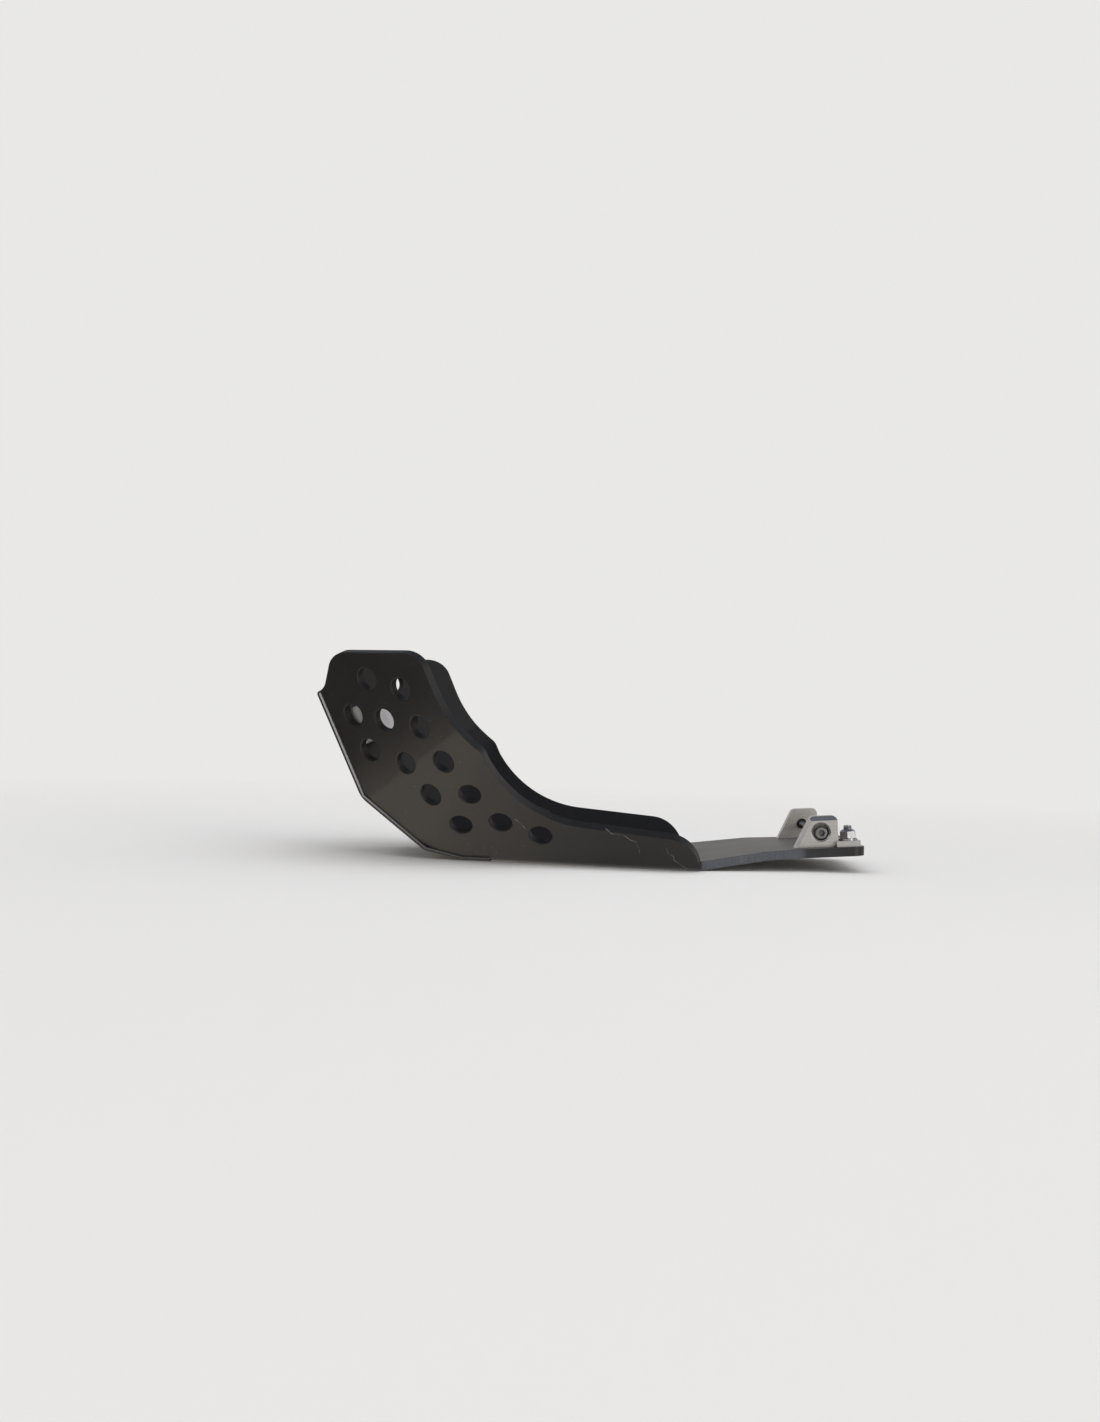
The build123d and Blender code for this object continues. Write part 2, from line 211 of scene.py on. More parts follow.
class EffectLibrary:
    """Node groups for the shared effects, each built once."""

    grain_detail: float = 3.0
    mark_detail: float = 4.0
    hairline_detail: float = 1.0
    hairline_turns: tuple[Place, ...] = ((0.3, 0.5, 0.1), (1.9, -0.6, 0.8), (0.7, 1.4, -1.1))
    hairline_edge: Span = (0.0, 0.05)
    stroke_edge: Span = (0.3, 0.7, 1.0, 0.0)
    corner_turn: Span = (0.995, 0.86)
    corner_patches: Span = (0.3, 0.6, 0.35, 1.0)
    speck_edge: Span = (0.5, 1.0, 1.0, 0.0)

    def __init__(self) -> None:
        """Build every group."""
        self.groups: dict[Effect, bpy.types.NodeTree] = {}
        recipes = (
            self._grain, self._tool_marks, self._hairlines, self._stroke, self._edge, self._specks
        )
        for build in recipes:
            build()

    def _new(self, effect: Effect, **inputs: str) -> tuple[Graph, bpy.types.NodeOutputs, Socket]:
        """Start a group that gives one number, and keep it.

        Args:
            effect: which effect it makes.
            inputs: name and kind of each input.

        Returns:
            The graph, what it is given and the socket that takes the result.
        """
        tree = bpy.data.node_groups.new(effect.value, "ShaderNodeTree")
        for name, kind in inputs.items():
            tree.interface.new_socket(name, in_out="INPUT", socket_type=f"NodeSocket{kind}")
        tree.interface.new_socket("Result", in_out="OUTPUT", socket_type="NodeSocketFloat")
        self.groups[effect] = tree
        graph = Graph(tree)
        return graph, graph.add("NodeGroupInput").outputs, graph.add("NodeGroupOutput").inputs["Result"]

    def _grain(self) -> None:
        """Even grain or blotches of one size."""
        graph, given, result = self._new(Effect.GRAIN, Vector="Vector", Size="Float")
        frequency = graph.math("DIVIDE", 1.0, given["Size"])
        graph.feed(result, graph.noise(graph.scale(given["Vector"], frequency), self.grain_detail))

    def _tool_marks(self) -> None:
        """Streaks that are long along one axis and narrow across the others."""
        graph, given, result = self._new(Effect.TOOL_MARKS, Vector="Vector", Spacing="Vector")
        scaled = graph.vector("DIVIDE", given["Vector"], given["Spacing"])
        graph.feed(result, graph.noise(scaled, self.mark_detail))

    def _hairlines(self) -> None:
        """Sparse fine scuffs in a few directions."""
        sockets = {"Vector": "Vector", "Spacing": "Vector", "Level": "Float"}
        graph, given, result = self._new(Effect.HAIRLINES, **sockets)
        mask: Input = 0.0
        for turn in self.hairline_turns:
            inputs = {"Vector": given["Vector"], "Rotation": turn}
            turned = graph.add("ShaderNodeVectorRotate", inputs, rotation_type="EULER_XYZ")
            scaled = graph.vector("DIVIDE", turned.outputs["Vector"], given["Spacing"])
            over = graph.math("SUBTRACT", graph.noise(scaled, self.hairline_detail), given["Level"])
            mask = graph.math("MAXIMUM", mask, graph.remap(over, *self.hairline_edge))
        graph.feed(result, mask)

    def _stroke(self) -> None:
        """One straight scratch from a point to another."""
        sockets = {"Vector": "Vector", "From": "Vector", "To": "Vector", "Width": "Float"}
        graph, given, result = self._new(Effect.STROKE, **sockets)
        reach = graph.vector("SUBTRACT", given["To"], given["From"])
        offset = graph.vector("SUBTRACT", given["Vector"], given["From"])
        forward = graph.measure("DOT_PRODUCT", offset, reach)
        share = graph.math("DIVIDE", forward, graph.measure("DOT_PRODUCT", reach, reach))
        along = graph.scale(reach, graph.remap(share, 0.0, 1.0))
        distance = graph.measure("DISTANCE", offset, along)
        fraction = graph.math("DIVIDE", distance, given["Width"])
        graph.feed(result, graph.remap(fraction, *self.stroke_edge))

    def _edge(self) -> None:
        """Corners, from how far a rounded normal leaves the surface's own."""
        sockets = {"Rounded": "Vector", "Surface": "Vector", "Tone": "Float"}
        graph, given, result = self._new(Effect.EDGE, **sockets)
        agreement = graph.measure("DOT_PRODUCT", given["Rounded"], given["Surface"])
        corner = graph.remap(agreement, *self.corner_turn)
        graph.feed(result, graph.times(corner, graph.remap(given["Tone"], *self.corner_patches)))

    def _specks(self) -> None:
        """Sparse round specks of dust, at the middles of loose cells."""
        sockets = {"Vector": "Vector", "Spacing": "Float", "Radius": "Float"}
        graph, given, result = self._new(Effect.SPECKS, **sockets)
        frequency = graph.math("DIVIDE", 1.0, given["Spacing"])
        inputs = {"Vector": given["Vector"], "Scale": frequency}
        cells = graph.add("ShaderNodeTexVoronoi", inputs)
        distance = graph.times(cells.outputs["Distance"], given["Spacing"])
        fraction = graph.math("DIVIDE", distance, given["Radius"])
        strength = graph.axis(cells.outputs["Color"], "X")
        graph.feed(result, graph.times(strength, graph.remap(fraction, *self.speck_edge)))


class MaterialSheet:
    """A material with a Principled shader and the coordinates that its pattern reads."""

    openness_samples: int = 8
    bevel_samples: int = 6

    def __init__(self, name: str, effects: EffectLibrary | None = None) -> None:
        """Make the material.

        Args:
            name: the material's name.
            effects: the shared effects, where it uses them.
        """
        self.effects = effects
        self.material = bpy.data.materials.new(name)
        self.material.use_nodes = True
        self.graph = Graph(self.material.node_tree)
        self.shader = self.material.node_tree.nodes["Principled BSDF"]
        self.where = self.graph.add("ShaderNodeTexCoord").outputs["Object"]
        self.geometry = self.graph.add("ShaderNodeNewGeometry")

    def set(self, name: str, value: Input) -> None:
        """Set or join one input of the shader."""
        self.graph.feed(self.shader.inputs[name], value)

    def pattern(self, effect: Effect, **inputs: Input) -> Socket:
        """Put an effect into the material.

        Args:
            effect: which effect.
            inputs: its values. An effect that reads a position gets the object's own, unless given one.

        Returns:
            The effect's output socket.
        """
        node = self.graph.add("ShaderNodeGroup", node_tree=self.effects.groups[effect])
        if "Vector" in node.inputs:
            inputs.setdefault("Vector", self.where)
        for name, value in inputs.items():
            self.graph.feed(node.inputs[name], value)
        return node.outputs["Result"]

    def bump(self, height: Input, depth: float, normal: Socket | None = None) -> Socket:
        """Relief.

        Args:
            height: height map from 0 to 1.
            depth: depth of the relief in metres.
            normal: a normal to start from.

        Returns:
            The bumped normal.
        """
        inputs: dict[str | int, Input] = {"Height": height, "Distance": depth, "Strength": 1.0}
        if normal is not None:
            inputs["Normal"] = normal
        return self.graph.add("ShaderNodeBump", inputs).outputs["Normal"]

    def openness(self, reach: float) -> Socket:
        """How open the surface lies.

        Args:
            reach: how far to look, in metres.

        Returns:
            A number from 0, deep in a recess, to 1.
        """
        inputs = {"Distance": reach}
        kind = "ShaderNodeAmbientOcclusion"
        return self.graph.add(kind, inputs, samples=self.openness_samples).outputs["AO"]

    def rounded_normal(self, radius: float) -> Socket:
        """Normal with its corners rounded off by a small radius in metres."""
        node = self.graph.add("ShaderNodeBevel", {"Radius": radius}, samples=self.bevel_samples)
        return node.outputs["Normal"]


@dataclass(frozen=True, kw_only=True)
class Finish:
    """What every finish has: a name, and the sizes of its patterns and rounded corners."""

    name: str
    blotch_size: float
    grain_size: float
    mark_spacing: Place
    edge_radius: float

    def _start(self, effects: EffectLibrary) -> tuple[MaterialSheet, list[Socket]]:
        """Make the material and the patterns that every finish mixes.

        Args:
            effects: the shared effects.

        Returns:
            The sheet, and its blotches, grain, tool marks, rounded normal and corners.
        """
        sheet = MaterialSheet(self.name, effects)
        blotch = sheet.pattern(Effect.GRAIN, Size=self.blotch_size)
        grain = sheet.pattern(Effect.GRAIN, Size=self.grain_size)
        marks = sheet.pattern(Effect.TOOL_MARKS, Spacing=self.mark_spacing)
        rounded = sheet.rounded_normal(self.edge_radius)
        surface = sheet.geometry.outputs["Normal"]
        edge = sheet.pattern(Effect.EDGE, Rounded=rounded, Surface=surface, Tone=blotch)
        return sheet, [blotch, grain, marks, rounded, edge]


@dataclass(frozen=True, kw_only=True)
class SheetFinish(Finish):
    """Black polyethylene sheet: satin faces, sawn edges partly in painted shade, painted light on the tail's
    narrowing edge, painted shade on upward faces and in the holes, a painted highlight along the seam and a
    few scratches.
    """

    name: str = "black_sheet"
    blotch_size: float = 46 * MM
    grain_size: float = 0.55 * MM
    mark_spacing: Place = (0.45 * MM, 0.45 * MM, 14 * MM)
    edge_radius: float = 0.5 * MM
    face: Colour = (0.0150, 0.0135, 0.0125)
    pale_face: Colour = (0.0205, 0.0188, 0.0174)
    blotch_share: float = 0.8
    grain_share: float = 0.35
    face_patches: Span = (0.35, 0.8)
    gloss_patches: Span = (0.3, 0.85, 0.28, 0.36)
    refraction: float = 1.52
    grain_depth: float = 0.010 * MM
    # Painted shade: faces that point upwards, the sheet's inner side, are darkened.
    inner: Colour = (0.0070, 0.0065, 0.0062)
    inner_shade_rise: Span = (0.05, 0.30)
    scuff: Colour = (0.045, 0.043, 0.040)
    scuff_spacing: Place = (16 * MM, 0.16 * MM, 0.16 * MM)
    scuff_level: float = 0.70
    scuff_share: float = 0.3
    dust: Colour = (0.21, 0.205, 0.195)
    dust_spacing: float = 6 * MM
    dust_radius: float = 0.38 * MM
    # Partly painted shade: real saw lines over a base darker than the faces, which is painted shade.
    sawn: Colour = (0.005, 0.005, 0.0055)
    pale_sawn: Colour = (0.013, 0.0135, 0.015)
    saw_lines: Span = (0.35, 0.65)
    saw_depth: float = 0.05 * MM
    saw_roughness: float = 0.2
    corner_share: float = 0.45
    # Painted light: the tail's narrowing cut edge, between X of 71 and 144 mm, is made lighter, with lighter
    # saw streaks; past it a trace of it stays.
    edge_painted_light: Colour = (0.050, 0.056, 0.066)
    painted_light_streak: Colour = (0.082, 0.091, 0.105)
    painted_light_from: Span = (71 * MM, 74 * MM)
    painted_light_to: Span = (139 * MM, 144 * MM, 1.0, 0.08)
    # Painted shade: the walls of the drilled holes are made near black.
    drilled: Colour = (0.003, 0.003, 0.003)
    drill_roughness: float = 0.3
    scratch: Colour = (0.150, 0.146, 0.140)
    scratch_width: float = 0.5 * MM
    scratch_waver: float = 0.9 * MM
    scratch_waver_size: float = 0.7 * MM
    scratch_break: float = 3.5 * MM
    scratch_patches: Span = (0.38, 0.58, 0.2, 1.0)
    scratch_facing: float = -0.4
    scratch_roughness: float = 0.2
    # Painted highlight: a pale line along the ridge of the seam's bead, strongest at its upper end.
    seam_painted_highlight: Colour = (0.40, 0.41, 0.42)
    seam_width: float = 1.15 * MM
    seam_fade: Span = (0 * MM, 60 * MM, 0.12, 1.0)
    seam_patches: Span = (0.2, 0.5, 0.5, 1.0)
    scratches: tuple[Stroke, ...] = (
        ((-48.8, 29.7), (-45.6, 27.5), (-41.6, 23.2)),
        (
            (9.6, 26.0), (13.6, 22.8), (19.4, 22.5), (22.0, 21.8), (25.3, 19.3),
            (29.2, 18.1), (29.7, 16.1), (31.8, 13.5), (31.7, 9.4),
        ),
        ((48.8, 15.0), (50.1, 11.0), (53.7, 9.4), (54.2, 7.1), (56.9, 5.1), (63.0, 1.3)),
    )
    seam: Stroke = ((-65.0, 1.95), (-84.2, 1.95), (-107.7, 7.4), (-150.4, 40.1), (-180.4, 106.9))

    @staticmethod
    def _strokes(sheet: MaterialSheet, where: Socket, strokes: Iterable[Stroke], width: float) -> Socket:
        """Mask of lines drawn in the side view.

        Args:
            sheet: the material being written.
            where: position, with its Y made 0.
            strokes: corners of each line, X and Z in millimetres.
            width: the lines' width in metres.

        Returns:
            A mask of all the lines.
        """
        mask: Input = 0.0
        for stroke in strokes:
            spots = [(x * MM, 0.0, z * MM) for x, z in stroke]
            for start, end in zip(spots, spots[1:]):
                line = sheet.pattern(Effect.STROKE, Vector=where, Width=width, From=start, To=end)
                mask = sheet.graph.math("MAXIMUM", mask, line)
        return mask

    def _scratch_mask(self, sheet: MaterialSheet) -> Socket:
        """Where the left wing's outer side is scratched.

        Args:
            sheet: the material being written.

        Returns:
            A mask of the scratches.
        """
        graph = sheet.graph
        wavy = {"Vector": sheet.where, "Scale": 1.0 / self.scratch_waver_size, "Detail": 1.0}
        unsteady = graph.add("ShaderNodeTexNoise", wavy).outputs["Color"]
        waver = graph.scale(graph.vector("SUBTRACT", unsteady, NOISE_MIDDLE), self.scratch_waver)
        flat = graph.vector("MULTIPLY", graph.vector("ADD", sheet.where, waver), SIDE_VIEW)
        mask = self._strokes(sheet, flat, self.scratches, self.scratch_width)
        patchy = graph.remap(sheet.pattern(Effect.GRAIN, Size=self.scratch_break), *self.scratch_patches)
        turn = graph.axis(sheet.geometry.outputs["True Normal"], "Y")
        facing = graph.math("LESS_THAN", turn, self.scratch_facing)
        left = graph.math("LESS_THAN", graph.axis(sheet.where, "Y"), 0.0)
        return graph.times(mask, patchy, facing, left)

    def _seam_mask(self, sheet: MaterialSheet, tone: Socket) -> Socket:
        """Where a pale line is painted on the ridge of the seam's bead as a highlight, strongest at its upper
        end.

        Args:
            sheet: the material being written.
            tone: grain that breaks the line up.

        Returns:
            A mask of the painted highlight.
        """
        graph = sheet.graph
        flat = graph.vector("MULTIPLY", sheet.where, SIDE_VIEW)
        line = self._strokes(sheet, flat, (self.seam,), self.seam_width)
        height = graph.remap(graph.axis(sheet.where, "Z"), *self.seam_fade)
        return graph.times(line, height, graph.remap(tone, *self.seam_patches))

    def material(self, effects: EffectLibrary) -> bpy.types.Material:
        """Write the material.

        Args:
            effects: the shared effects.

        Returns:
            The finished material.
        """
        sheet, (blotch, grain, marks, rounded, edge) = self._start(effects)
        graph = sheet.graph
        sawn, drilled = (
            graph.add("ShaderNodeAttribute", attribute_name=name).outputs["Fac"]
            for name in (CUT_ATTRIBUTE, HOLE_ATTRIBUTE)
        )
        scuffs = sheet.pattern(Effect.HAIRLINES, Spacing=self.scuff_spacing, Level=self.scuff_level)
        specks = sheet.pattern(Effect.SPECKS, Spacing=self.dust_spacing, Radius=self.dust_radius)
        scratches = self._scratch_mask(sheet)
        rise = graph.axis(sheet.geometry.outputs["True Normal"], "Z")
        along = graph.axis(sheet.where, "X")
        # Painted light: mask of the tail's narrowing cut edge, which gets the lighter colours.
        edge_painted_light = graph.times(graph.remap(along, *self.painted_light_from), graph.remap(along, *self.painted_light_to))
        lines = graph.remap(marks, *self.saw_lines)
        # Sawn edges: saw lines on a base darkened as painted shade.
        sawn_lines_and_shade = graph.mix(lines, self.sawn, self.pale_sawn)
        edges = graph.mix(edge_painted_light, sawn_lines_and_shade, graph.mix(lines, self.edge_painted_light, self.painted_light_streak))
        mottled = graph.total((blotch, self.blotch_share), (grain, self.grain_share))

        colour = graph.mix(graph.remap(mottled, *self.face_patches), self.face, self.pale_face)
        layers = (
            (graph.times(scuffs, self.scuff_share), self.scuff),
            (specks, self.dust),
            # painted shade on faces that point upwards
            (graph.remap(rise, *self.inner_shade_rise), self.inner),
            # cut edges: saw lines over painted shade, with painted light on the tail's narrowing edge
            (sawn, edges),
            # painted shade on the holes' walls
            (drilled, self.drilled),
            (graph.times(edge, self.corner_share), self.pale_sawn),
            (scratches, self.scratch),
            # painted highlight along the seam
            (self._seam_mask(sheet, grain), self.seam_painted_highlight),
        )
        for mask, tint in layers:
            colour = graph.mix(mask, colour, tint)
        sheet.set("Base Color", colour)
        rough = graph.total(
            (graph.remap(mottled, *self.gloss_patches), 1.0),
            (sawn, self.saw_roughness),
            (drilled, self.drill_roughness),
            (scratches, self.scratch_roughness),
        )
        sheet.set("Roughness", rough)
        sheet.set("IOR", self.refraction)
        relief = sheet.bump(grain, self.grain_depth, rounded)
        relief = sheet.bump(graph.times(marks, sawn), self.saw_depth, relief)
        sheet.set("Normal", sheet.bump(graph.times(scratches, -1.0), self.saw_depth, relief))
        return sheet.material


@dataclass(frozen=True, kw_only=True)
class MetalFinish(Finish):
    """An unplated or plated metal with tool marks, fine grain, bright corners and painted shade in its
    hollows.
    """

    colour: Colour
    shade: Colour
    bright: Colour
    roughness: tuple[float, float]
    mark_depth: float
    blotch_size: float = 9 * MM
    grain_size: float = 0.3 * MM
    edge_radius: float = 0.25 * MM
    edge_share: float = 0.6
    tone_shares: tuple[float, float] = (0.5, 0.5)
    tone_patches: Span = (0.35, 0.65)
    gloss_shares: tuple[float, float] = (0.6, 0.4)
    gloss_patches: Span = (0.3, 0.7)
    # Painted shade: recesses such as sockets and counterbores are darkened by ambient occlusion.
    hollow_painted_shade: Colour = (0.030, 0.029, 0.028)
    painted_shade_reach: float = 5.0 * MM
    painted_shade_from: Span = (0.2, 0.65)
    painted_shade_share: float = 0.85

    def material(self, effects: EffectLibrary) -> bpy.types.Material:
        """Write the material.

        Args:
            effects: the shared effects.

        Returns:
            The finished material.
        """
        sheet, (blotch, grain, marks, rounded, edge) = self._start(effects)
        graph = sheet.graph
        tone = graph.total(*zip((marks, blotch), self.tone_shares))
        colour = graph.mix(graph.remap(tone, *self.tone_patches), self.shade, self.colour)
        colour = graph.mix(graph.times(edge, self.edge_share), colour, self.bright)
        # Painted shade in recesses, from ambient occlusion.
        hollow_shade_mask = graph.remap(sheet.openness(self.painted_shade_reach), *self.painted_shade_from, self.painted_shade_share, 0.0)
        sheet.set("Base Color", graph.mix(hollow_shade_mask, colour, self.hollow_painted_shade))
        sheet.set("Metallic", 1.0)
        gloss = graph.total(*zip((marks, grain), self.gloss_shares))
        sheet.set("Roughness", graph.remap(gloss, *self.gloss_patches, *self.roughness))
        relief = sheet.bump(marks, self.mark_depth, rounded)
        sheet.set("Normal", sheet.bump(grain, self.mark_depth / 2, relief))
        return sheet.material


MACHINED = MetalFinish(
    name="machined_aluminium",
    colour=(0.83, 0.81, 0.78),
    shade=(0.76, 0.74, 0.71),
    bright=(0.94, 0.93, 0.91),
    roughness=(0.20, 0.32),
    mark_spacing=(16 * MM, 0.14 * MM, 0.14 * MM),
    mark_depth=0.003 * MM,
)
SAWN_BAR = MetalFinish(
    name="sawn_aluminium",
    colour=(0.72, 0.72, 0.73),
    shade=(0.54, 0.54, 0.55),
    bright=(0.90, 0.90, 0.90),
    roughness=(0.32, 0.5),
    mark_spacing=(0.4 * MM, 9 * MM, 0.4 * MM),
    mark_depth=0.014 * MM,
)
ZINC = MetalFinish(
    name="zinc_plate",
    colour=(0.66, 0.67, 0.67),
    shade=(0.48, 0.49, 0.50),
    bright=(0.84, 0.84, 0.83),
    roughness=(0.15, 0.28),
    mark_spacing=(0.5 * MM, 0.5 * MM, 0.5 * MM),
    mark_depth=0.006 * MM,
    blotch_size=3 * MM,
)
PLAIN_STEEL = MetalFinish(
    name="plain_steel",
    colour=(0.40, 0.395, 0.39),
    shade=(0.27, 0.265, 0.26),
    bright=(0.60, 0.60, 0.59),
    roughness=(0.22, 0.36),
    mark_spacing=(0.5 * MM, 0.5 * MM, 0.5 * MM),
    mark_depth=0.008 * MM,
    blotch_size=3 * MM,
)


def mesh_group(name: str, change: Callable[[Graph, Socket], Socket]) -> bpy.types.NodeTree:
    """Write a geometry node group that changes a mesh.

    Args:
        name: the group's name.
        change: adds its nodes to a graph and a mesh, and gives the new mesh.

    Returns:
        The group.
    """
    tree = bpy.data.node_groups.new(name, "GeometryNodeTree")
    for way in ("INPUT", "OUTPUT"):
        tree.interface.new_socket("Geometry", in_out=way, socket_type="NodeSocketGeometry")
    graph = Graph(tree)
    mesh = change(graph, graph.add("NodeGroupInput").outputs["Geometry"])
    graph.add("NodeGroupOutput", {"Geometry": mesh})
    return tree


def put_in_scene(data: bpy.types.ID) -> bpy.types.Object:
    """Make an object of a mesh, lamp or camera and link it.

    Args:
        data: what the object shows.

    Returns:
        The object, of the same name.
    """
    thing = bpy.data.objects.new(data.name, data)
    bpy.context.scene.collection.objects.link(thing)
    return thing


def cut_and_cap(mesh: bmesh.types.BMesh, spot: Vector, normal: Vector, keep_front: bool) -> None:
    """Cut a closed mesh at a plane, drop one side and close the other.

    Args:
        mesh: the mesh to cut.
        spot: a point of the plane.
        normal: the plane's normal.
        keep_front: whether the side that the normal points to stays.
    """
    cut = bmesh.ops.bisect_plane(
        mesh,
        geom=[*mesh.verts, *mesh.edges, *mesh.faces],
        dist=CUT_TOLERANCE,
        plane_co=spot,
        plane_no=normal,
        clear_inner=keep_front,
        clear_outer=not keep_front,
    )
    rim = [item for item in cut["geom_cut"] if isinstance(item, bmesh.types.BMEdge)]
    bmesh.ops.edgeloop_fill(mesh, edges=rim)


@dataclass(frozen=True)
class SolidSurface:
    """Modifiers that shade a solid's bends softly and its corners crisply, and mark a sheet's cut faces."""

    crisp_angle: float = math.radians(28.0)
    sheet: float = 0.0
    thick: float = 1.3
    skin: float = 0.05 * MM
    ray: float = 60 * MM
    hole: float = 17 * MM

    def _distance(self, graph: Graph, mesh: Socket, way: float, reach: float) -> tuple[Socket, Socket]:
        """How far a face's normal line runs before it meets the solid again.

        Args:
            graph: the modifier's graph.
            mesh: the welded mesh.
            way: 1 to look outwards, -1 to look inwards.
            reach: how far to look.

        Returns:
            Whether it meets the solid, and the distance.
        """
        normal = graph.add("GeometryNodeInputNormal").outputs["True Normal"]
        spot = graph.add("GeometryNodeInputPosition").outputs["Position"]
        line = graph.scale(normal, way)
        start = graph.vector("ADD", spot, graph.scale(line, self.skin))
        ray = {"Target Geometry": mesh, "Source Position": start, "Ray Direction": line, "Ray Length": reach}
        cast = graph.add("GeometryNodeRaycast", ray)
        return cast.outputs["Is Hit"], cast.outputs["Hit Distance"]

    def _mark(self, graph: Graph, mesh: Socket) -> Socket:
        """Mark sawn faces, with more than the sheet behind them, and drilled ones, with a wall before them.

        Args:
            graph: the modifier's graph.
            mesh: the welded mesh.

        Returns:
            The mesh with both marks on its faces.
        """
        met, depth = self._distance(graph, mesh, -1.0, self.ray)
        thick = graph.math("GREATER_THAN", depth, self.thick * self.sheet)
        thick = graph.math("MAXIMUM", thick, graph.math("SUBTRACT", 1.0, met))
        drilled, _ = self._distance(graph, mesh, 1.0, self.hole)
        closed = graph.math("SUBTRACT", 1.0, drilled)
        for name, way in ((CUT_ATTRIBUTE, closed), (HOLE_ATTRIBUTE, drilled)):
            mark = {"Geometry": mesh, "Name": name, "Value": graph.times(thick, way)}
            mesh = graph.add("GeometryNodeStoreNamedAttribute", mark, domain="FACE").outputs["Geometry"]
        return mesh

    def shade(self, graph: Graph, mesh: Socket) -> Socket:
        """Write the modifier's nodes.

        Args:
            graph: the modifier's graph.
            mesh: the solid's mesh.

        Returns:
            The shaded mesh.
        """
        weld = {"Geometry": mesh, "Distance": WELD}
        mesh = graph.add("GeometryNodeMergeByDistance", weld).outputs["Geometry"]
        if self.sheet:
            mesh = self._mark(graph, mesh)
        angle = graph.add("GeometryNodeInputMeshEdgeAngle").outputs["Unsigned Angle"]
        crisp = graph.math("GREATER_THAN", angle, self.crisp_angle)
        shading = {"Mesh": mesh, "Remove Custom": True, "Edge Sharpness": crisp, "Face Sharpness": False}
        return graph.add("GeometryNodeSetMeshNormal", shading, mode="SHARPNESS").outputs["Mesh"]

    @staticmethod
    def dress(solid: bpy.types.Object, group: bpy.types.NodeTree) -> None:
        """Put the modifiers on a solid.

        Args:
            solid: the object to shade.
            group: the modifier's nodes.
        """
        solid.modifiers.new("bends", "NODES").node_group = group
        even = solid.modifiers.new("even_normals", "WEIGHTED_NORMAL")
        even.keep_sharp = True
        even.weight = NORMAL_WEIGHT


def coat(solid: bpy.types.Object, material: bpy.types.Material) -> None:
    """Give an object one material.

    Args:
        solid: the object.
        material: its finish.
    """
    if not solid.material_slots:
        solid.data.materials.append(material)
    for slot in solid.material_slots:
        slot.material = material


@dataclass(frozen=True)
class FacetChain:
    """Flat faces in a row on the left half, seen from outside, that meet in round creases."""

    normals: tuple[Vector, ...]
    corners: tuple[Vector, ...]
    radii: tuple[float, ...]
    tolerance: float = 0.05 * MM
    agreement: float = math.cos(math.radians(4.0))

    def _crease(self, graph: Graph, spot: Socket, index: int) -> Socket:
        """Normal that turns from one face's to the next one's around their crease.

        Args:
            graph: the modifier's graph.
            spot: position on the left half.
            index: which crease.

        Returns:
            The normal's socket.
        """
        first, second = self.normals[index : index + 2]
        middle = (first + second).normalized()
        across = (second - first).normalized()
        half = first.angle(second) / 2
        centre = self.corners[index] - middle * (self.radii[index] / math.cos(half))
        offset = graph.vector("SUBTRACT", spot, centre)
        sideways = graph.measure("DOT_PRODUCT", offset, across)
        angle = graph.math("ARCTAN2", sideways, graph.measure("DOT_PRODUCT", offset, middle))
        angle = graph.math("MINIMUM", graph.math("MAXIMUM", angle, -half), half)
        onward = graph.scale(middle, graph.math("COSINE", angle))
        return graph.vector("ADD", onward, graph.scale(across, graph.math("SINE", angle)))

    def _normal(self, graph: Graph, spot: Socket) -> Socket:
        """Outward normal of the whole chain.

        Args:
            graph: the modifier's graph.
            spot: position on the left half.

        Returns:
            The normal's socket.
        """
        normal = self._crease(graph, spot, 0)
        for index in range(1, len(self.radii)):
            turn = graph.vector("SUBTRACT", self._crease(graph, spot, index), self.normals[index])
            normal = graph.vector("ADD", normal, turn)
        return normal

    def _height(self, graph: Graph, spot: Socket) -> Socket:
        """How far a position lies outside the faces' planes.

        Args:
            graph: the modifier's graph.
            spot: position on the left half.

        Returns:
            The height's socket.
        """
        height: Input = -1.0
        for normal, corner in zip(self.normals, (self.corners[0], *self.corners)):
            level = graph.measure("DOT_PRODUCT", graph.vector("SUBTRACT", spot, corner), normal)
            height = graph.math("MAXIMUM", height, level)
        return height

    def smooth(self, graph: Graph, mesh: Socket) -> Socket:
        """Give the chain's faces, outside and inside, the normals of its true shape.

        Args:
            graph: the modifier's graph.
            mesh: the mesh to shade.

        Returns:
            The shaded mesh.
        """
        spot = graph.add("GeometryNodeInputPosition").outputs["Position"]
        side = graph.math("SIGN", graph.axis(spot, "Y"))
        across = graph.times(side, -1.0)
        mirror = graph.add("ShaderNodeCombineXYZ", {"X": 1.0, "Y": across, "Z": 1.0}).outputs["Vector"]
        left = graph.vector("MULTIPLY", spot, mirror)
        shape = graph.vector("MULTIPLY", self._normal(graph, left), mirror)
        given = graph.add("GeometryNodeInputNormal")
        kept = given.outputs["Normal"]
        true = {0: given.outputs["True Normal"]}
        face = graph.add("GeometryNodeFieldOnDomain", true, domain="FACE", data_type="FLOAT_VECTOR")
        facing = graph.measure("DOT_PRODUCT", face.outputs[0], shape)
        alike = graph.math("GREATER_THAN", graph.math("ABSOLUTE", facing), self.agreement)
        level = graph.math("LESS_THAN", self._height(graph, left), self.tolerance)
        member = {0: graph.times(alike, level)}
        chosen = graph.add("GeometryNodeFieldOnDomain", member, domain="FACE", data_type="FLOAT").outputs[0]
        change = graph.vector("SUBTRACT", graph.scale(shape, graph.math("SIGN", facing)), kept)
        normal = graph.vector("ADD", kept, graph.scale(change, chosen))
        shading = {"Mesh": mesh, "Custom Normal": normal}
        node = graph.add("GeometryNodeSetMeshNormal", shading, mode="FREE", domain="CORNER")
        return node.outputs["Mesh"]


